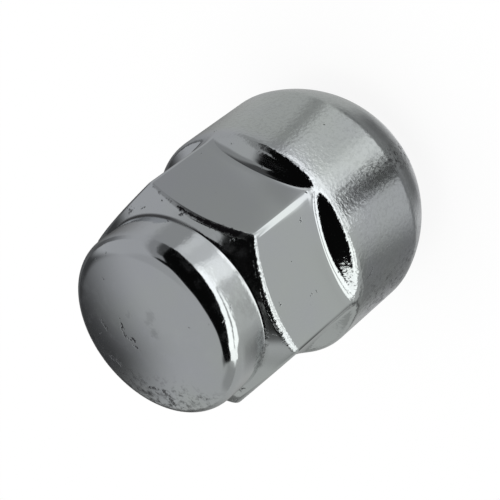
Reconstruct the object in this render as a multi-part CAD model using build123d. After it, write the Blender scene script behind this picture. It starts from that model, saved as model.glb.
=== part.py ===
# Closed-end wheel nut with a ball seat, formed and turned from one piece of steel.
# Millimetres. The nut stands on its open end: the origin is the centre of the open
# end face, +Z runs along the thread axis to the closed end, and a hex corner lies on +X.
import os
from math import cos, radians, sqrt, tan

from build123d import *

# Ball seat, the open end face, and the round collar turned just under the seat's size
seat_radius = 11.45
end_face_diameter = 14.5
end_face_bevel = 0.25
collar_undercut = 0.32
shoulder_rounding = 2.5

# Top of the collar, where a sloping ledge is left beside each flat
rim_height = 15.25
rim_rounding = 1.0
ledge_angle = 37.0

# Hexagon for the wrench, measured along its corners from the rim to the lead-in cone
across_flats = 19.0
corner_length = 8.85
corner_rounding = 0.6
lead_in_angle = 33.8
lead_in_bevel = 0.25

# Round closed end, stepped in from the flats and measured up from the lead-in cone
boss_step = 0.875
boss_height = 5.5
dome_height = 1.1
dome_edge_rounding = 1.85

# Blind hole for a metric thread, with a countersunk mouth
thread_diameter = 12.0
thread_pitch = 1.5
hole_depth = 22.0
drill_point_angle = 118.0
mouth_diameter = 12.6
mouth_angle = 90.0

# The hole is left at the thread's minor diameter: the 60 degree thread form is 1.0825
# pitches less than its major diameter
minor_radius = (thread_diameter - 1.0825 * thread_pitch) / 2

collar_radius = seat_radius - collar_undercut
seat_centre = sqrt(seat_radius**2 - (end_face_diameter / 2) ** 2)
flat_radius = across_flats / 2
sharp_corner_radius = flat_radius / cos(radians(30))
corner_radius = sharp_corner_radius - corner_rounding * (1 / cos(radians(30)) - 1)
boss_radius = flat_radius - boss_step
corner_top = rim_height + corner_length
boss_root = corner_top + (corner_radius - boss_radius) * tan(radians(lead_in_angle))
overall_height = boss_root + boss_height


def rectangle_between(x0, y0, x1, y1):
    return Pos((x0 + x1) / 2, (y0 + y1) / 2) * Rectangle(x1 - x0, y1 - y0)


def vertex_near(sketch, x, y):
    return sorted(sketch.vertices(), key=lambda v: (v.X - x) ** 2 + (v.Y - y) ** 2)[0]


def turned(half_section):
    # Drawn in XY, then stood up in the plane through the middle of a flat, so that the
    # seam of each turned face stays clear of the hex corners
    upright = Rot(0, 0, 30) * Rot(90, 0, 0) * half_section
    return revolve(upright, axis=Axis.Z)


def collar_section():
    # The seat's sphere cuts the cylinder below its centre, and the ledges' cone tops it
    ball = Pos(0, seat_centre) * Circle(seat_radius)
    above_ball = rectangle_between(-seat_radius, seat_centre, 2 * seat_radius, rim_height)
    section = rectangle_between(0, 0, collar_radius, rim_height) & (ball + above_ball)
    cone_top = rim_height + collar_radius * tan(radians(ledge_angle))
    section += make_face(Polyline((0, rim_height), (collar_radius, rim_height), (0, cone_top), close=True))
    shoulder = seat_centre - sqrt(seat_radius**2 - collar_radius**2)
    section = fillet(vertex_near(section, collar_radius, shoulder), shoulder_rounding)
    section = fillet(vertex_near(section, collar_radius, rim_height), rim_rounding)
    return chamfer(vertex_near(section, end_face_diameter / 2, 0), end_face_bevel)


def wrench_section():
    # Outline that the hexagon is cut from: lead-in cone, boss wall and shallow dome
    dome_edge = overall_height - dome_height
    dome_radius = (boss_radius**2 + dome_height**2) / (2 * dome_height)
    blank_radius = sharp_corner_radius + corner_rounding
    cone_foot = boss_root - (blank_radius - boss_radius) * tan(radians(lead_in_angle))
    walls = Polyline(
        (0, overall_height), (0, rim_height), (blank_radius, rim_height), (blank_radius, cone_foot),
        (boss_radius, boss_root), (boss_radius, dome_edge),
    )
    dome = RadiusArc((boss_radius, dome_edge), (0, overall_height), -dome_radius)
    return fillet(vertex_near(make_face(walls + dome), boss_radius, dome_edge), dome_edge_rounding)


def hex_prism():
    hexagon = RegularPolygon(flat_radius, 6, major_radius=False)
    return extrude(fillet(hexagon.vertices(), corner_rounding), amount=overall_height)


def wrench_end():
    # The lead-in cone meets the flats in six hyperbolas, broken by one narrow bevel
    body = turned(wrench_section()) & hex_prism()
    cone = body.faces().filter_by(GeomType.CONE).sort_by(Axis.Z)[-1]
    chain = [e for e in cone.edges() if e.geom_type not in (GeomType.CIRCLE, GeomType.LINE)]
    return chamfer(chain, lead_in_bevel)


def hole_section():
    mouth_radius = mouth_diameter / 2
    mouth_depth = (mouth_radius - minor_radius) / tan(radians(mouth_angle / 2))
    point_height = minor_radius / tan(radians(drill_point_angle / 2))
    outline = Polyline(
        (0, 0), (mouth_radius, 0), (minor_radius, mouth_depth),
        (minor_radius, hole_depth), (0, hole_depth + point_height), close=True,
    )
    return make_face(outline)


def lug_nut():
    return turned(collar_section()) + wrench_end() - turned(hole_section())


nut = lug_nut()
nut.label = "lug_nut"
os.makedirs("parts", exist_ok=True)
export_step(nut, "parts/lug_nut.step")
print("hex corner radius", round(corner_radius, 3), "collar radius", round(collar_radius, 3))
print("seat centre", round(seat_centre, 3), "boss root", round(boss_root, 3), "height", round(overall_height, 3))
print("volume", round(nut.volume, 1), "mm3, solids", len(nut.solids()), "faces", len(nut.faces()))
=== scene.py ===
# A closed chromed wheel nut standing on its open end, seen from above with the camera rolled over
import math

import bpy
import numpy as np
from mathutils import Matrix, Vector


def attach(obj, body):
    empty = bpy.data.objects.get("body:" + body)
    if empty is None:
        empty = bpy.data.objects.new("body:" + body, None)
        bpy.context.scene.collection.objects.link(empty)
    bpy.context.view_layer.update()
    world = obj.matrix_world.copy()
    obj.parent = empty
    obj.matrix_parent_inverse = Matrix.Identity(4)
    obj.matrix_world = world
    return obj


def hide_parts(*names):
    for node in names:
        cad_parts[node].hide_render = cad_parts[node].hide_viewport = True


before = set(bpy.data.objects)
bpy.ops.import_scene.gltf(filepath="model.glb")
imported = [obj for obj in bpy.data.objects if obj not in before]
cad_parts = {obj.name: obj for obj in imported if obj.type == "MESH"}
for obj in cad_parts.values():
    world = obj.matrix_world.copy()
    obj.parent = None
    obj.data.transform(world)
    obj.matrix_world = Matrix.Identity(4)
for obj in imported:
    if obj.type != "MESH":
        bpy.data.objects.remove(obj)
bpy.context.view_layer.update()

mm = 0.001

# Outside of the nut: sizes in millimetres, measured from the open end face, as the solid has them
nut = {
    "seatRadius": 11.45, "endFace": 7.25, "endRounding": 0.25,
    "collarRadius": 11.13, "shoulderRounding": 2.5,
    "rimHeight": 15.25, "ledgeAngle": 37.0, "ledgeBlend": 2.3,
    "flatRadius": 9.5, "cornerRounding": 0.6, "cornerTop": 24.1,
    "leadInAngle": 33.8, "leadInRounding": 0.8,
    "bossRadius": 8.625, "bossRoot": 0.15, "bossHeight": 5.5,
    "domeHeight": 1.1, "domeEdge": 1.85, "blendTurn": 1.96,
    "flatColumns": 36, "cornerColumns": 10, "longestRow": 0.45,
    "bevelSteps": 4, "seatSteps": 26, "shoulderSteps": 4, "blendSteps": 8, "rootSteps": 3,
    "edgeSteps": 16, "domeSteps": 20,
}

# Blind hole: the thread's crests stand at its minor radius, where the solid has its wall
hole = {
    "minor": 5.188, "major": 6.0, "pitch": 1.5, "depth": 22.0, "mouthRadius": 6.3, "drillPoint": 59.0,
    "crestShare": 0.25, "rootShare": 0.125, "runOut": 1.5, "rowsPerPitch": 10, "pointSteps": 8,
}


def hexRadius(phi, p):
    # Radius of the rounded hexagon at an angle phi from the middle of a flat: a straight line up to
    # the tangent point, then an arc about a centre that lies on the corner's ray
    a, rc = p["flatRadius"], p["cornerRounding"]
    tangent = math.atan((a - rc) * math.tan(math.radians(30)) / a)
    centre = (a - rc) / math.cos(math.radians(30))
    psi = math.radians(30) - np.abs(phi)
    arc = centre * np.cos(psi) + np.sqrt(np.maximum(rc**2 - (centre * np.sin(psi))**2, 0))
    return np.where(np.abs(phi) > tangent, arc, a / np.cos(phi))


def columnAngles(p):
    # Azimuths of the grid's columns: even steps along each flat, then along each rounded corner
    a, rc = p["flatRadius"], p["cornerRounding"]
    half = (a - rc) * math.tan(math.radians(30))
    flat = np.arctan(np.linspace(-half, half, p["flatColumns"] + 1) / a)
    corner = np.linspace(flat[-1], math.radians(60) - flat[-1], p["cornerColumns"] + 1)[1:-1]
    sector = np.concatenate([flat, corner])
    return np.concatenate([math.radians(30 + 60 * k) + sector for k in range(6)])


def arcRows(centre, radius, start, end, steps):
    # Points (radius, height) at even angles on an arc of the half section
    t = np.radians(np.linspace(start, end, steps + 1))
    return np.stack([centre[0] + radius * np.cos(t), centre[1] + radius * np.sin(t)], 1)


def roundedChain(points, radii, steps):
    # A chain of runs in the half section, one chain per column: each inner point turns into an arc
    # tangent to both runs, which starts radius * tan(half the turn) before the point
    rows = [points[0]]
    for k in range(1, len(points) - 1):
        into, out = points[k] - points[k - 1], points[k + 1] - points[k]
        into /= np.linalg.norm(into, axis=1, keepdims=True)
        out /= np.linalg.norm(out, axis=1, keepdims=True)
        turn = np.arctan2(into[:, 0] * out[:, 1] - into[:, 1] * out[:, 0], (into * out).sum(1))
        r = np.broadcast_to(radii[k], turn.shape)
        side = np.stack([-into[:, 1], into[:, 0]], 1) * np.sign(turn)[:, None]
        start = points[k] - into * (r * np.tan(np.abs(turn) / 2))[:, None]
        centre = start + side * r[:, None]
        spoke = start - centre
        for t in np.linspace(0, 1, steps[k] + 1):
            c, s = np.cos(turn * t), np.sin(turn * t)
            across, up = spoke[:, 0] * c - spoke[:, 1] * s, spoke[:, 0] * s + spoke[:, 1] * c
            rows.append(centre + np.stack([across, up], 1))
    return np.stack(rows + [points[-1]])


def filledRows(rows, longest):
    # Even rows between any two rows that lie further apart than the longest step
    gaps = np.linalg.norm(np.diff(rows, axis=0), axis=2).max(1)
    counts = np.maximum(1, np.ceil(gaps / longest)).astype(int)
    filled = []
    for k, n in enumerate(counts):
        share = (np.arange(n) / n)[:, None, None]
        filled.append(rows[k] + (rows[k + 1] - rows[k]) * share)
    return np.concatenate(filled + [rows[-1:]])


def outsideRows(theta, p):
    # Half section at every azimuth as rows of (radius, height). The ball arc, shoulder and dome are
    # the same all round, and between them the ledge, flat and lead-in cone follow the hexagon's radius
    n = len(theta)
    hexR = hexRadius(theta % math.radians(60) - math.radians(30), p)
    ledge, lead = math.tan(math.radians(p["ledgeAngle"])), math.tan(math.radians(p["leadInAngle"]))
    bossRoot = p["cornerTop"] + (hexRadius(math.radians(30), p) - p["bossRadius"]) * lead
    top = bossRoot + p["bossHeight"]

    # seat and shoulder: the shoulder's arc touches the ball from inside and the collar
    ball, shoulder, bevel = p["seatRadius"], p["shoulderRounding"], p["endRounding"]
    ballCentre = (0, math.sqrt(ball**2 - p["endFace"]**2))
    offset = p["collarRadius"] - shoulder
    fall = math.sqrt((ball - shoulder)**2 - offset**2)
    meet = -math.degrees(math.atan2(fall, offset))
    low = -math.degrees(math.acos(p["endFace"] / ball))
    lift = math.degrees(bevel * math.tan(math.radians(45 + low / 2)) / ball)
    bevelCentre = (p["endFace"] - bevel * math.tan(math.radians(90 + low) / 2), bevel)
    lower = np.concatenate([
        arcRows(bevelCentre, bevel, -90, low, p["bevelSteps"]),
        arcRows(ballCentre, ball, low + lift, meet, p["seatSteps"]),
        arcRows((offset, ballCentre[1] - fall), shoulder, meet, 0, p["shoulderSteps"])[1:],
    ])

    # dome and its rounded edge, which touches the boss wall and the dome from inside
    e, rise = p["domeEdge"], p["domeHeight"]
    domeRadius = (p["bossRadius"]**2 + rise**2) / (2 * rise)
    inset = p["bossRadius"] - e
    drop = math.sqrt((domeRadius - e)**2 - inset**2)
    steep = math.degrees(math.atan2(drop, inset))
    upper = np.concatenate([
        arcRows((inset, top - domeRadius + drop), e, 0, steep, p["edgeSteps"]),
        arcRows((0, top - domeRadius), domeRadius, steep, 90, p["domeSteps"])[1:-1],
    ])

    def everywhere(points):
        return np.broadcast_to(points[:, None, :], (len(points), n, 2))

    # flat and collar flow into the ledge over one height all round: two arcs, with a straight run
    # at the ledge's angle between them where the ledge is wide
    width, blend = p["collarRadius"] - hexR, p["ledgeBlend"]
    turn = np.minimum(math.radians(90 - p["ledgeAngle"]), p["blendTurn"] * np.arctan(width / blend))
    middle, rise = p["rimHeight"] + width * ledge / 2, width / np.tan(turn)
    radius = (blend - rise) / 2 / np.tan(turn / 2)
    radii = [0, radius, radius, p["leadInRounding"], p["bossRoot"], 0]
    steps = [0] + [p["blendSteps"]] * 3 + [p["rootSteps"], 0]
    chain = roundedChain([
        everywhere(lower[-1:])[0],
        np.stack([np.full(n, p["collarRadius"]), middle - rise / 2], 1),
        np.stack([hexR, middle + rise / 2], 1),
        np.stack([hexR, bossRoot - (hexR - p["bossRadius"]) * lead], 1),
        np.stack([np.full(n, p["bossRadius"]), np.full(n, bossRoot)], 1),
        everywhere(upper[:1])[0],
    ], radii, steps)
    face = np.array([[hole["mouthRadius"], 0.0]])
    rows = np.concatenate([everywhere(face), everywhere(lower)[:-1], chain, everywhere(upper)[1:]])
    return filledRows(rows, p["longestRow"]), top


def threadRadius(theta, z, h):
    # Wall of a 60 degree internal thread: it swings between the minor and the major radius with the
    # helix phase, flat at crest and root, and runs out towards the bottom of the hole
    phase = np.abs((z / h["pitch"] - theta / (2 * math.pi)) % 1.0 - 0.5) * 2
    crest, root = h["crestShare"], 1 - h["rootShare"]
    depth = np.clip((phase - crest) / (root - crest), 0, 1)
    fade = np.clip((h["depth"] - z) / (h["runOut"] * h["pitch"]), 0, 1)
    return h["minor"] + (h["major"] - h["minor"]) * depth * fade


def holeRows(theta, h):
    # Rows of (radius, height) up the hole: the cone of the mouth wherever it is wider than the
    # thread, then the threaded wall, then the drill point as far as its pole
    rows = int(h["depth"] / h["pitch"] * h["rowsPerPitch"])
    z = np.linspace(0, h["depth"], rows + 1)[:, None] * np.ones_like(theta)[None]
    mouth = h["mouthRadius"] - z
    wall = np.stack([np.maximum(threadRadius(theta[None], z, h), mouth), z], 2)
    tip = h["depth"] + h["minor"] / math.tan(math.radians(h["drillPoint"]))
    share = np.linspace(0, 1, h["pointSteps"] + 1)[1:-1]
    point = np.stack([h["minor"] * (1 - share), h["depth"] + (tip - h["depth"]) * share], 1)
    return np.concatenate([wall, np.broadcast_to(point[:, None, :], (len(point), len(theta), 2))]), tip


def ringFaces(rows, theta, pole, inward):
    # Revolves rows of (radius, height) over the azimuths: x = radius cos, y = radius sin. The grid
    # closes on itself round the axis and, at its last row, in a fan to a pole on the axis
    count, n = rows.shape[:2]
    x, y, z = rows[..., 0] * np.cos(theta), rows[..., 0] * np.sin(theta), rows[..., 1]
    points = np.concatenate([np.stack([x, y, z], 2).reshape(-1, 3), [[0, 0, pole]]]) * mm
    i, j = np.meshgrid(np.arange(count - 1), np.arange(n), indexing="ij")
    k = (j + 1) % n
    quads = np.stack([i * n + j, i * n + k, (i + 1) * n + k, (i + 1) * n + j], 2).reshape(-1, 4)
    last = (count - 1) * n + np.arange(n)
    fan = np.stack([last, np.roll(last, -1), np.full(n, count * n)], 1)
    if inward:
        quads, fan = quads[:, ::-1], fan[:, ::-1]
    return points, quads, fan


def addPiece(name, points, faces, smooth=True):
    # A mesh object at the origin from arrays of points and of faces
    mesh = bpy.data.meshes.new(name)
    mesh.from_pydata(points.tolist(), [], [f for part in faces for f in part.tolist()])
    mesh.validate()
    if smooth:
        mesh.shade_smooth()
    piece = bpy.data.objects.new(name, mesh)
    bpy.context.scene.collection.objects.link(piece)
    return piece


def addNut():
    # One closed surface: the outside grid and the hole's grid, sewn at the rim of the mouth. The
    # hole's faces take the second material
    theta = columnAngles(nut)
    rows, top = outsideRows(theta, nut)
    inner, tip = holeRows(theta, hole)
    outside = ringFaces(rows, theta, top, False)
    inside = ringFaces(inner[1:], theta, tip, True)
    n, start = len(theta), len(outside[0])
    ring = np.arange(n)
    seam = np.stack([ring, start + ring, start + np.roll(ring, -1), np.roll(ring, -1)], 1)
    faces = [outside[1], outside[2], seam, inside[1] + start, inside[2] + start]
    piece = addPiece("nut_body", np.concatenate([outside[0], inside[0]]), faces)
    plated = len(outside[1]) + len(outside[2])
    index = np.zeros(len(piece.data.polygons), dtype=np.int32)
    index[plated:] = 1
    piece.data.polygons.foreach_set("material_index", index)
    return piece


class Wire:
    # A socket of a node tree. Sums, products and powers of wires and numbers become Math nodes
    def __init__(self, tree, socket=None):
        self.tree, self.socket = tree, socket

    def node(self, kind, settings=None, inputs=None, output=0):
        # Any node: its type, the settings that come first, then the values or links of its sockets
        made = self.tree.nodes.new("ShaderNode" + kind)
        for name, value in (settings or {}).items():
            setattr(made, name, value)
        for name, value in (inputs or {}).items():
            if isinstance(value, Wire):
                self.tree.links.new(value.socket, made.inputs[name])
            else:
                made.inputs[name].default_value = value
        return Wire(self.tree, made.outputs[output])

    def maths(self, operation, first, second=0.0):
        return self.node("Math", {"operation": operation}, {0: first, 1: second})

    def __add__(self, other):
        return self.maths("ADD", self, other)

    __radd__ = __add__

    def __mul__(self, other):
        return self.maths("MULTIPLY", self, other)

    __rmul__ = __mul__

    def __sub__(self, other):
        return self.maths("SUBTRACT", self, other)

    def __rsub__(self, other):
        return self.maths("SUBTRACT", other, self)

    def __pow__(self, other):
        return self.maths("POWER", self, other)

    def vector(self, operation, other=None, scale=None):
        # Vector maths: with another vector, with a scale, or alone, as for a length
        numbers = operation in ("LENGTH", "DOT_PRODUCT", "DISTANCE")
        inputs = {0: self}
        if other is not None:
            inputs[1] = other
        if scale is not None:
            inputs["Scale"] = scale
        return self.node("VectorMath", {"operation": operation}, inputs, "Value" if numbers else "Vector")

    def mixed(self, first, second):
        # Colour between two colours, with this wire as the share of the second
        return self.node("Mix", {"data_type": "RGBA"}, {0: self, 6: first, 7: second}, 2)

    def size(self):
        return self.maths("ABSOLUTE", self)

    def smaller(self, other):
        return self.maths("MINIMUM", self, other)

    def larger(self, other):
        return self.maths("MAXIMUM", self, other)

    def step(self, low, high):
        # 0 up to low and 1 from high on, straight between them. Low may be the larger of the two
        return self.node("MapRange", {"clamp": True}, {0: self, 1: low, 2: high})


def newMaterial(name):
    # A material with an empty node tree, a wire to build the tree with, and its output node
    material = bpy.data.materials.new(name)
    material.use_nodes = True
    tree = material.node_tree
    tree.nodes.clear()
    return material, Wire(tree), tree.nodes.new("ShaderNodeOutputMaterial")


# Plating: two tints of chrome, a fine-grained collar, a smooth hexagon and dome, what use and
# handling have left on it, and painted shade at the foot of the boss and a painted dark reflection up the
# collar.
# Sizes are in millimetres. A pair is where something begins and where it is whole, and a noise is its scale
# per millimetre, its detail and its roughness
chrome = {
    "green": (0.575, 0.612, 0.597, 1), "violet": (0.562, 0.586, 0.618, 1), "dirtAndShade": (0.030, 0.028, 0.032, 1),
    "tintNoise": (0.16, 3.0), "tintSpread": 2.0, "tintAcross": 0.05, "tintAcrossCollar": 0.08,
    "tintCollar": 0.2, "tintDome": 0.3, "domeHeights": (28, 31),
    "collarHeights": (14.6, 13.2), "bossHeights": (25.0, 25.8),
    "roughness": {"collar": 0.17, "hexagon": 0.08, "boss": 0.10, "dirtAndShade": 0.5},
    "roughNoise": (0.6, 4.0), "roughLeast": 0.8, "roughSpread": 0.4,
    "grainNoise": (3.3, 2.0), "grainDepth": 0.028, "grainHeights": (16.6, 15.8),
    "grainDrop": 0.8, "grainSides": (-2.0, 2.0),
    "mottleNoise": (1.2, 3.0), "mottleDepth": 0.022, "mottleHeights": (30.0, 29.0),
    "mottleSides": (-7.0, -4.5),
    "filmNoise": (0.8, 4.0, 0.6), "filmShares": (0.55, 0.70), "filmHeights": (24.2, 25.0), "film": 0.022,
    "ragScale": 3.0, "rag": 1.1, "pitScale": 0.5, "pitSizes": (0.075, 0.02), "markDepth": 0.02,
    # wear, dirt and painted shade that lie in one place each
    "wear": {
        "rimToward": (-0.93, -0.37), "rimReach": (1.0, 7.0), "rimRadii": (3.0, 7.6),
        "rimHeights": (29.0, 30.0), "rimNoise": (1.7, 6.0, 0.72), "rimGain": 0.15,
        "rimShares": (0.54, 0.74), "rimEdge": (0.02, 0.3), "rimDark": 0.85,
        "stripeMiddle": -2.3, "stripeSquares": (2.2, 0.1), "stripeFrom": (5, 8),
        "speckleNoise": (3.0, 3.0, 0.65), "speckleShares": (0.48, 0.62), "speckleDark": 0.10,
        # painted dark reflection: how much darker the speckles are in the stripe up the collar
        "reflectionStripeDark": 0.72,
        "rubbedNoise": (2.0, 5.0, 0.7), "rubbedShares": (0.48, 0.64), "rubbedSides": (-8.4, -9.8),
        "rubbedFrom": (0.5, 3.0), "rubbedDark": 0.55,
        "chipNoise": (3.0, 4.0, 0.6), "chipSpread": 0.6, "chipMiddle": 2.0, "chipGrowth": 0.04,
        "chipGaps": (0.36, 0.26), "chipSides": (0.0, 1.0),
        "bluntGaps": (0.37, 0.30), "bluntRoughness": 0.06, "bluntDepth": 0.05,
        # painted shade in the corner at the foot of the boss
        "rootShadeGaps": (0.34, 0.12), "rootShadeSides": (3.0, 6.0), "rootShadeDark": 0.85,
    },
}

# Scratches, soft stains and two runs of painted shade along the foot of the boss, each from one point
# to another near the surface, with its width and how dark it is
scratchesAndShade = (
    ((-1.1, 2.0, 31.0), (-1.3, 1.7, 31.0), 0.26, 0.9),
    ((-1.6, 1.5, 31.0), (-1.7, 1.0, 31.1), 0.20, 0.8),
    ((-1.3, 0.6, 31.1), (-1.2, 0.2, 31.1), 0.24, 0.9),
    ((-1.7, -0.1, 31.1), (-1.5, -0.5, 31.1), 0.22, 0.8),
    ((-3.2, 3.6, 30.8), (-3.5, 2.6, 30.8), 0.20, 0.6),
    ((2.7, 0.9, 31.0), (2.5, 0.7, 31.0), 0.60, 0.14),
    ((1.6, -0.4, 31.1), (1.5, -0.6, 31.1), 0.55, 0.18),
    ((1.9, 0.6, 31.1), (1.8, 0.5, 31.1), 0.45, 0.14),
    ((0.6, 2.2, 31.1), (0.4, 2.1, 31.1), 0.35, 0.10),
    ((-4.4, -3.5, 30.7), (-3.9, -3.9, 30.7), 0.24, 0.9),
    ((-3.2, -4.4, 30.7), (-3.4, -4.8, 30.6), 0.26, 0.8),
    ((-3.5, -5.4, 30.5), (-3.7, -5.9, 30.4), 0.24, 0.8),
    ((-5.8, 0.7, 30.6), (-5.5, -0.2, 30.7), 0.26, 0.7),
    ((8.4, -1.9, 27.4), (8.2, -2.8, 26.9), 1.1, 0.26),
    ((8.0, -3.3, 27.2), (7.8, -3.8, 26.6), 0.8, 0.22),
    ((7.6, -4.1, 26.9), (7.4, -4.4, 26.3), 0.7, 0.15),
    # these two runs along the foot of the boss on the side of -y are painted shade: a dark band where the
    # boss meets the cone
    ((5.5, -6.1, 25.9), (4.3, -7.0, 25.9), 0.8, 0.60),
    ((4.3, -7.0, 25.9), (2.8, -7.7, 26.0), 0.8, 0.75),
    ((4.0, 8.3, 25.2), (4.1, 8.2, 25.1), 0.20, 1.0),
    ((2.3, 9.0, 25.2), (2.8, 8.8, 25.2), 0.20, 0.7),
    ((7.3, 5.6, 25.2), (7.6, 5.4, 25.2), 0.20, 0.8),
    ((-1.5, -8.8, 25.4), (-1.9, -8.8, 25.4), 0.24, 0.9),
    ((-4.9, -9.0, 24.5), (-4.1, -9.2, 24.5), 0.22, 0.7),
    ((7.1, -6.6, 20.0), (7.15, -6.6, 20.05), 0.16, 0.7),
    ((2.2, -10.9, 9.9), (3.6, -10.5, 10.6), 0.26, 0.60),
    ((1.2, -11.0, 8.6), (2.6, -10.8, 10.9), 0.24, 0.50),
    ((2.9, -10.7, 8.2), (4.4, -10.2, 9.6), 0.24, 0.50),
    ((7.0, -8.7, 13.9), (7.3, -8.4, 13.0), 0.22, 0.50),
)


def scratchAndShadeMask(place, marks, mask, fullShare=0.35):
    # Adds scratches, stains and runs of painted shade to a mask. Each is dark up to its width from the
    # nearest point of its run, which lies at the limited share of the way along it, and wholly so over the
    # inner share of its width.
    # The limits are minima and maxima: with clamped ramps instead, a list this long renders black
    for start, end, width, strength in marks:
        run = Vector(end) - Vector(start)
        fromStart = place.vector("SUBTRACT", start)
        share = fromStart.vector("DOT_PRODUCT", tuple(run / run.length_squared)).larger(0.0).smaller(1.0)
        nearest = place.node("VectorMath", {"operation": "SCALE"}, {"Vector": tuple(run), "Scale": share})
        slope = strength / ((1 - fullShare) * width)
        depth = (width - fromStart.vector("DISTANCE", nearest)) * slope
        mask = mask.larger(depth.smaller(strength))
    return mask


def chromeFinish(p):
    # Dirt and painted shade = the largest of all marks, roughness = that of the part or, under dirt and
    # painted shade, that of the dirt, and height = grain + mottle - marks
    material, wire, output = newMaterial("chrome")
    w = p["wear"]
    place = wire.node("TexCoord", None, output="Object").vector("SCALE", scale=1 / mm)
    x, y, height = (wire.node("SeparateXYZ", None, {0: place}, axis) for axis in "XYZ")
    radius = (x * x + y * y) ** 0.5

    def noise(scale, detail=2.0, roughness=0.5):
        inputs = {"Vector": place, "Scale": scale, "Detail": detail, "Roughness": roughness}
        return wire.node("TexNoise", None, inputs)

    # where the collar and the boss are, and how rough each part is. The grain ends lower on the +y side
    collar = height.step(*p["collarHeights"])
    grained = (height + y.step(*p["grainSides"]) * p["grainDrop"]).step(*p["grainHeights"])
    boss = height.step(*p["bossHeights"])
    level = p["roughness"]
    smooth = level["hexagon"]
    rough = smooth + collar * (level["collar"] - smooth) + boss * (level["boss"] - smooth)
    rough = rough * (p["roughLeast"] + p["roughSpread"] * noise(*p["roughNoise"]))

    # tint: bluer on the side of +y and on the dome, greener on the other side, in soft blotches
    blotch = noise(*p["tintNoise"])
    tint = 0.5 + y * (p["tintAcross"] - p["tintAcrossCollar"] * collar)
    tint = tint + height.step(*p["domeHeights"]) * p["tintDome"] - collar * p["tintCollar"]
    tint = (tint + (blotch - 0.5) * p["tintSpread"]).step(0, 1)
    colour = tint.mixed(p["green"], p["violet"])

    # marks are ragged because their coordinates are
    rag = wire.node("TexNoise", None, {"Vector": place, "Scale": p["ragScale"], "Detail": 3.0}, "Color")
    ragged = place.vector("ADD", rag.vector("SUBTRACT", (0.5, 0.5, 0.5)).vector("SCALE", scale=p["rag"]))
    pits = wire.node("TexVoronoi", None, {"Vector": ragged, "Scale": p["pitScale"]}, "Distance")
    pits = pits.step(*p["pitSizes"])

    # dirt on one side of the dome's rim, speckles up the collar that are much darker in a stripe as a
    # painted dark reflection, and a rubbed place on it
    rim = (x * w["rimToward"][0] + y * w["rimToward"][1]).step(*w["rimReach"])
    rim = rim * radius.step(*w["rimRadii"]) * height.step(*w["rimHeights"])
    rimDirt = (noise(*w["rimNoise"]) + rim * w["rimGain"]).step(*w["rimShares"])
    rimDirt = rimDirt * rim.step(*w["rimEdge"]) * w["rimDark"]
    # painted dark reflection: the speckles darken much more in a stripe up the collar
    across = y - w["stripeMiddle"]
    reflectionStripe = (across * across).step(*w["stripeSquares"]) * x.step(*w["stripeFrom"])
    speckleAndReflection = noise(*w["speckleNoise"]).step(*w["speckleShares"])
    speckleAndReflection = speckleAndReflection * (w["speckleDark"] + w["reflectionStripeDark"] * reflectionStripe) * collar
    rubbed = noise(*w["rubbedNoise"]).step(*w["rubbedShares"]) * y.step(*w["rubbedSides"])
    rubbed = rubbed * x.step(*w["rubbedFrom"]) * collar * w["rubbedDark"]

    # how near the edge between the lead-in cone and a flat is: 0 where both surfaces would meet
    lead, corner = math.tan(math.radians(nut["leadInAngle"])), hexRadius(math.radians(30), nut)
    sides = [x * math.cos(math.radians(a)) + y * math.sin(math.radians(a)) for a in (30, -30)]
    coneGap = nut["cornerTop"] + (corner - radius) * lead - height
    left, right = ((nut["flatRadius"] - side).larger(coneGap) for side in sides)
    uneven = noise(*w["chipNoise"]) - 0.5
    chips = left + uneven * w["chipSpread"] + (y - w["chipMiddle"]) * w["chipGrowth"]
    chips = chips.step(*w["chipGaps"]) * y.step(*w["chipSides"])
    blunt = right.step(*w["bluntGaps"])

    # painted shade in the corner at the foot of the boss, on the side of +y
    bossRoot = nut["cornerTop"] + (corner - nut["bossRadius"]) * lead
    rootShade = (radius - nut["bossRadius"]).size() + (height - bossRoot).size()
    rootShade = rootShade.step(*w["rootShadeGaps"]) * y.step(*w["rootShadeSides"]) * w["rootShadeDark"]
    rough = rough + blunt * w["bluntRoughness"]
    marks = scratchAndShadeMask(ragged, scratchesAndShade, pits)
    dirtAndShade = marks.larger(rimDirt).larger(speckleAndReflection).larger(chips).larger(rubbed).larger(rootShade)

    # a film that shows only in the dark reflections
    film = noise(*p["filmNoise"]).step(*p["filmShares"]) * height.step(*p["filmHeights"]) * p["film"]

    # relief: noise is centred on 0, because the border of its mask would show as a line otherwise
    grain = (noise(*p["grainNoise"]) - 0.5) * (grained * p["grainDepth"] + blunt * w["bluntDepth"])
    mottle = (noise(*p["mottleNoise"]) - 0.5) * boss * height.step(*p["mottleHeights"])
    mottle = mottle * y.step(*p["mottleSides"]) * p["mottleDepth"]
    hollow = marks * -p["markDepth"]
    bump = wire.node("Bump", None, {"Height": grain + mottle + hollow, "Distance": mm, "Strength": 1.0})
    shader = wire.node("BsdfPrincipled", None, {
        "Base Color": dirtAndShade.mixed(colour, p["dirtAndShade"]), "Metallic": 1 - film,
        "Roughness": rough + dirtAndShade * (level["dirtAndShade"] - rough), "Normal": bump,
    })
    wire.tree.links.new(shader.socket, output.inputs["Surface"])
    return material


# Hole: bare cut steel with a film of oil that has darkened in the roots
thread = {
    "steel": (0.46, 0.45, 0.43, 1), "dark": (0.16, 0.14, 0.12, 1), "roots": (5.3, 5.9), "rootShare": 0.6,
    "blotchScale": 0.9, "blotches": (0.45, 0.75), "blotchShare": 0.6, "filmed": 0.3,
    "roughness": (0.26, 0.5), "toolScale": 6.0, "toolStretch": (1, 1, 5), "toolDepth": 0.006,
}


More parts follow.
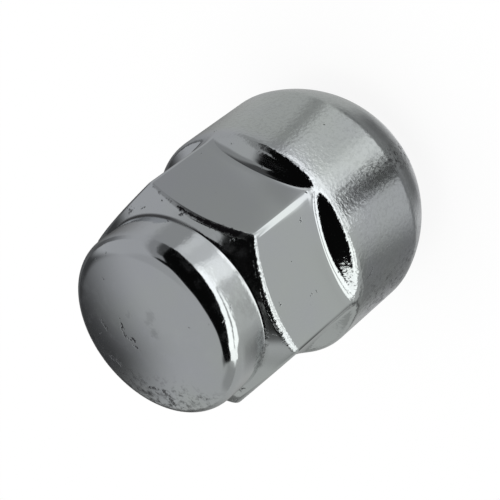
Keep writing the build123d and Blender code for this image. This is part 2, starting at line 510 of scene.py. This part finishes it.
def threadFinish(p):
    # Dark = film in the roots + blotches, and height = fine tool marks, stretched round the hole
    material, wire, output = newMaterial("thread_steel")
    place = wire.node("TexCoord", None, output="Object").vector("SCALE", scale=1 / mm)
    radius = place.vector("MULTIPLY", (1, 1, 0)).vector("LENGTH")
    blotch = wire.node("TexNoise", None, {"Vector": place, "Scale": p["blotchScale"], "Detail": 4.0})
    dark = radius.step(*p["roots"]) * p["rootShare"] + blotch.step(*p["blotches"]) * p["blotchShare"]
    dark = dark.smaller(1.0)
    stretched = place.vector("MULTIPLY", p["toolStretch"])
    tool = wire.node("TexNoise", None, {"Vector": stretched, "Scale": p["toolScale"]})
    bump = wire.node("Bump", None, {"Height": tool * p["toolDepth"], "Distance": mm, "Strength": 1.0})
    low, high = p["roughness"]
    shader = wire.node("BsdfPrincipled", None, {
        "Base Color": dark.mixed(p["steel"], p["dark"]), "Metallic": 1 - dark * p["filmed"],
        "Roughness": low + (high - low) * dark, "Normal": bump,
    })
    wire.tree.links.new(shader.socket, output.inputs["Surface"])
    return material


body = addNut()
body.data.materials.append(chromeFinish(chrome))
body.data.materials.append(threadFinish(thread))
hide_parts("lug_nut")
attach(body, "root")
print("nut:", len(body.data.polygons), "faces")

# Camera: turned by tilt, roll and spin about the nut's middle height, in degrees and millimetres
view = {
    "tilt": 49.465, "roll": 128.642, "spin": 273.656, "distance": 165.0, "lens": 133.45,
    "pivot": 15.541, "shift": (0.218, 0.075),
}


def addCamera(p):
    camera = bpy.data.objects.new("camera", bpy.data.cameras.new("camera"))
    bpy.context.scene.collection.objects.link(camera)
    turned = Matrix.Identity(3)
    for axis, degrees in (("Z", p["roll"]), ("X", -p["tilt"]), ("Z", p["spin"])):
        turned = turned @ Matrix.Rotation(math.radians(degrees), 3, axis)
    back = turned.transposed()
    place = Vector((0, 0, p["pivot"])) + back @ Vector((-p["shift"][0], -p["shift"][1], p["distance"]))
    camera.matrix_world = Matrix.Translation(place * mm) @ back.to_4x4()
    camera.data.lens = p["lens"]
    camera.data.clip_start = 0.001
    bpy.context.scene.camera = camera


# Studio: a pale floor lit from above, and a painted tent and table sheet that only the plating shows
studio = {
    "walls": 0.51, "floorHalf": 1.5, "floorGrey": 0.90, "floorGlow": 0.9,
    "lampHeight": 0.9, "lampSize": 0.8, "lampPower": 6.3,
}

# Shades are painted in order. Each has a lower and an upper edge over a list of azimuths, and fades
# over the soft width at its sides and at those edges: elevations in degrees on the tent. An edge of
# one number is level
tent = {
    "centre": 29.0, "radius": 500.0, "lowest": -3.5, "highest": 89.0, "step": 1.0,
    "shades": {
        "leftDim": {"azimuth": (50, 140), "low": 48, "high": 84, "soft": (20, 12), "grey": 0.45},
        "rightDim": {"azimuth": (-126, -94), "low": -20, "high": 32, "soft": (12, 16), "grey": 0.37},
        "farDim": {"azimuth": (134, 184), "low": -20, "high": 33, "soft": (16, 36), "grey": 0.06},
        "sideDim": {"azimuth": (44, 73), "low": -20, "high": (48, 46), "soft": (10, 8), "grey": 0.32},
        "sideCloth": {"azimuth": (44, 60), "low": -20, "high": (32, 28), "soft": (5, 8), "grey": 0.08},
        "clothEnd": {"azimuth": (-114, -102), "low": (42, 38), "high": 50, "soft": (12, 8), "grey": 0.20},
        "darkCloth": {
            "azimuth": (-105, -98, -89, -79, -72, -65, -45, -26, 14, 31, 41, 50, 53, 57, 64, 69, 74),
            "low": (40, 33, 20, 20, 20, 10, -20, -20, -20, -20, -20, -20, 43, 43, 43, 45, 45),
            "high": (46, 51, 56, 60, 64, 69, 75, 76.5, 76.5, 74, 68, 60, 57, 56, 54, 51, 47),
            "soft": (12, 4), "grey": 0.003,
        },
        "whiteWall": {
            "azimuth": (-91, -85, -78, -72, -62, -53, -44, -34, -26), "low": -20,
            "high": (6, 15, 23, 24, 19, 14.5, 10, 4.5, 0), "soft": (14, 1.5), "grey": 1.65,
        },
        "gap": {"azimuth": (-76, -61), "low": (-4, -10), "high": (3, -3), "soft": (4, 2), "grey": 0.6},
    },
}

# The same on the table, with radii in millimetres instead of elevations
table = {
    "height": 0.1, "from": -180, "to": 180, "radii": (8, 505), "rows": 110, "step": 1.0, "base": 0.50,
    "shades": {
        "nearMat": {"azimuth": (-66, -26), "low": 0, "high": 60, "soft": (6, 2), "grey": 0.57},
        "leftMat": {"azimuth": (44, 78), "low": 27, "high": 56, "soft": (12, 6), "grey": 0.37},
        "rightShade": {"azimuth": (-110, -58), "low": 14, "high": 28, "soft": (30, 4), "grey": 0.23},
        "bossFoot": {
            "azimuth": (-119, -82), "low": (28, 31), "high": (38, 42), "soft": (32, 9), "grey": 0.12,
        },
        "leftShade": {"azimuth": (120, 204), "low": 12, "high": 600, "soft": (70, 8), "grey": 0.10},
        "leftFar": {"azimuth": (110, 204), "low": 80, "high": 600, "soft": (40, 20), "grey": 0.12},
        "satin": {"azimuth": (5, 40), "low": 14, "high": 28, "soft": (6, 2), "grey": 0.66},
        "glow": {"azimuth": (-8, 8), "low": 14, "high": 28, "soft": (12, 2), "grey": 0.92},
        "band": {"azimuth": (-25, -13), "low": 14, "high": 27, "soft": (9, 2), "grey": 0.09},
        "dip": {"azimuth": (42, 52), "low": 14, "high": 28, "soft": (7, 2), "grey": 0.35},
        "footShade": {"azimuth": (-80, 34), "low": 12, "high": 15, "soft": (16, 2), "grey": 0.23},
        "seatShade": {"azimuth": (-50, 22), "low": 9.2, "high": 12, "soft": (24, 1.5), "grey": 0.18},
        "cornerWhite": {"azimuth": (-36, 35), "low": 27, "high": 36.5, "soft": (6, 1.5), "grey": 1.35},
        "bossGrey": {"azimuth": (-26, 30), "low": 37, "high": 46, "soft": (10, 2), "grey": 0.66},
        "bossLeft": {"azimuth": (17, 46), "low": 37, "high": (64, 58), "soft": (8, 2), "grey": 0.70},
        "bossBright": {"azimuth": (34, 44), "low": 37, "high": 46, "soft": (7, 4), "grey": 0.80},
        "bossWhite": {"azimuth": (-11, 15), "low": 37, "high": 50, "soft": (11, 2), "grey": 1.18},
        "sideDim": {"azimuth": (44, 73), "low": 56, "high": 600, "soft": (10, 6), "grey": 0.32},
        "sideCloth": {"azimuth": (44, 60), "low": (60, 54), "high": 600, "soft": (5, 6), "grey": 0.08},
        "whiteSheet": {
            "azimuth": (-91, -85, -78, -74, -70, -61, -52, -34, -16, 17),
            "low": (480, 290, 190, 110, 68, 50, 47.5, 46, 45, 45), "high": 600,
            "soft": (14, 2), "grey": 1.6,
        },
        "gap": {
            "azimuth": (-66, -61, -52, -43, -34, -25, -16, -10), "low": (260, 165, 92, 75, 62, 53, 48, 45),
            "high": (900, 415, 172, 124, 88, 65, 56, 50), "soft": (3, 3), "grey": 0.48,
        },
        "darkCloth": {
            "azimuth": (-28, -25, -22, -16, -6, 3, 13, 22, 32, 42, 50),
            "low": (1200, 830, 420, 172, 134, 103, 82, 67, 58, 55, 54), "high": 2000,
            "soft": (3, 2), "grey": 0.003,
        },
    },
}

# White card that only the end of the right ledge mirrors, with its corners in millimetres
card = {
    "corners": ((10.4, -25.4, 36.9), (5.3, -25.6, 36.9), (5.9, -41.0, 21.8), (16.2, -40.6, 21.8)),
    "grey": 1.5,
}


def painted(azimuth, level, base, shades):
    # Grey at every point: each shade covers what was painted before by the product of four ramps,
    # two over the azimuth at its sides and two over the level at its lower and upper edge
    grey = np.full(azimuth.shape, base)
    for shade in shades.values():
        knots = np.array(shade["azimuth"], dtype=float)
        middle = (knots[0] + knots[-1]) / 2
        turned = middle + (azimuth - middle + 180) % 360 - 180
        low = np.interp(turned, knots, np.broadcast_to(shade["low"], knots.shape))
        high = np.interp(turned, knots, np.broadcast_to(shade["high"], knots.shape))
        side, edge = shade["soft"]
        sides = ((turned - knots[0], side), (knots[-1] - turned, side))
        edges = ((level - low, edge), (high - level, edge))
        cover = 1.0
        for gap, width in sides + edges:
            ramp = np.clip(gap / width + 0.5, 0, 1)
            cover = cover * ramp * ramp * (3 - 2 * ramp)
        grey += (shade["grey"] - grey) * cover
    return grey


def glowFinish(name):
    # Emission of the grey that is painted on the vertices
    material, wire, output = newMaterial(name)
    grey = wire.node("Attribute", {"attribute_name": "grey"}, output="Color")
    glow = wire.node("Emission", None, {"Color": grey, "Strength": 1.0})
    wire.tree.links.new(glow.socket, output.inputs["Surface"])
    return material


def addPainted(name, points, faces, grey):
    # A painted surface that shows in reflections and nowhere else
    piece = addPiece(name, points, faces)
    paint = piece.data.attributes.new("grey", "FLOAT", "POINT")
    paint.data.foreach_set("value", grey.astype(np.float32).ravel())
    piece.data.materials.append(glowFinish(name + "_paint"))
    piece.visible_camera = piece.visible_diffuse = piece.visible_transmission = piece.visible_shadow = False


def addTent(p, walls):
    # Sphere over the table, closed at its top: height = centre + radius sin(elevation), and the
    # radius of each ring = radius cos(elevation)
    theta = np.radians(np.arange(-180, 180, p["step"]))
    azimuth, level = np.meshgrid(np.degrees(theta), np.arange(p["lowest"], p["highest"], p["step"]))
    across, up = p["radius"] * np.cos(np.radians(level)), p["radius"] * np.sin(np.radians(level))
    rows = np.stack([across, p["centre"] + up], 2)
    points, quads, fan = ringFaces(rows, theta, p["centre"] + p["radius"], True)
    grey = painted(azimuth, level, walls, p["shades"])
    addPainted("tent", points, [quads, fan], np.append(grey.ravel(), walls))


def addTable(p):
    # Sheet round the nut: azimuth runs along its columns, x = radius cos and y = radius sin, and the
    # radii of its rows grow by one factor
    columns = int((p["to"] - p["from"]) / p["step"]) + 1
    turns = np.linspace(p["from"], p["to"], columns)
    azimuth, radius = np.meshgrid(turns, np.geomspace(*p["radii"], p["rows"]))
    x, y = radius * np.cos(np.radians(azimuth)), radius * np.sin(np.radians(azimuth))
    i, j = np.meshgrid(np.arange(p["rows"] - 1), np.arange(columns - 1), indexing="ij")
    a = (i * columns + j).reshape(-1)
    faces = np.stack([a, a + columns, a + columns + 1, a + 1], 1)
    points = np.stack([x, y, np.full_like(x, p["height"])], 2).reshape(-1, 3) * mm
    addPainted("table_sheet", points, [faces], painted(azimuth, radius, p["base"], p["shades"]))


def addCard(p):
    # One flat four-sided face
    points = np.array(p["corners"]) * mm
    addPainted("white_card", points, [np.array([[0, 1, 2, 3]])], np.full(len(points), p["grey"]))


def addStudio(p):
    # The floor is diffuse, so it keeps the shadow, under a share of plain white for the eye
    half = p["floorHalf"]
    corners = np.array([(-half, -half, 0), (half, -half, 0), (half, half, 0), (-half, half, 0)])
    floor = addPiece("floor", corners, [np.array([[0, 1, 2, 3]])], smooth=False)
    material, wire, output = newMaterial("floor_paint")
    paint = wire.node("BsdfDiffuse", None, {"Color": (p["floorGrey"],) * 3 + (1,)})
    white = wire.node("Emission", None, {"Color": (1, 1, 1, 1), "Strength": 1.0})
    rays = ("Is Camera Ray", "Is Glossy Ray", "Is Transmission Ray")
    camera, glossy, through = (wire.node("LightPath", None, output=ray) for ray in rays)
    seen = (camera + glossy + through).smaller(1.0) * p["floorGlow"]
    surface = wire.node("MixShader", None, {0: seen, 1: paint, 2: white})
    wire.tree.links.new(surface.socket, output.inputs["Surface"])
    floor.data.materials.append(material)
    world = bpy.data.worlds.new("walls")
    bpy.context.scene.world = world
    world.use_nodes = True
    world.node_tree.nodes["Background"].inputs["Color"].default_value = (p["walls"],) * 3 + (1,)
    lamp = bpy.data.objects.new("overhead_lamp", bpy.data.lights.new("overhead_lamp", "AREA"))
    lamp.data.size = p["lampSize"]
    lamp.data.energy = p["lampPower"]
    lamp.location = (0, 0, p["lampHeight"])
    lamp.visible_glossy = False
    bpy.context.scene.collection.objects.link(lamp)


addCamera(view)
addStudio(studio)
addTent(tent, studio["walls"])
addTable(table)
addCard(card)
bpy.context.scene.view_settings.view_transform = "Standard"
print("studio:", len(tent["shades"]) + len(table["shades"]), "shades")
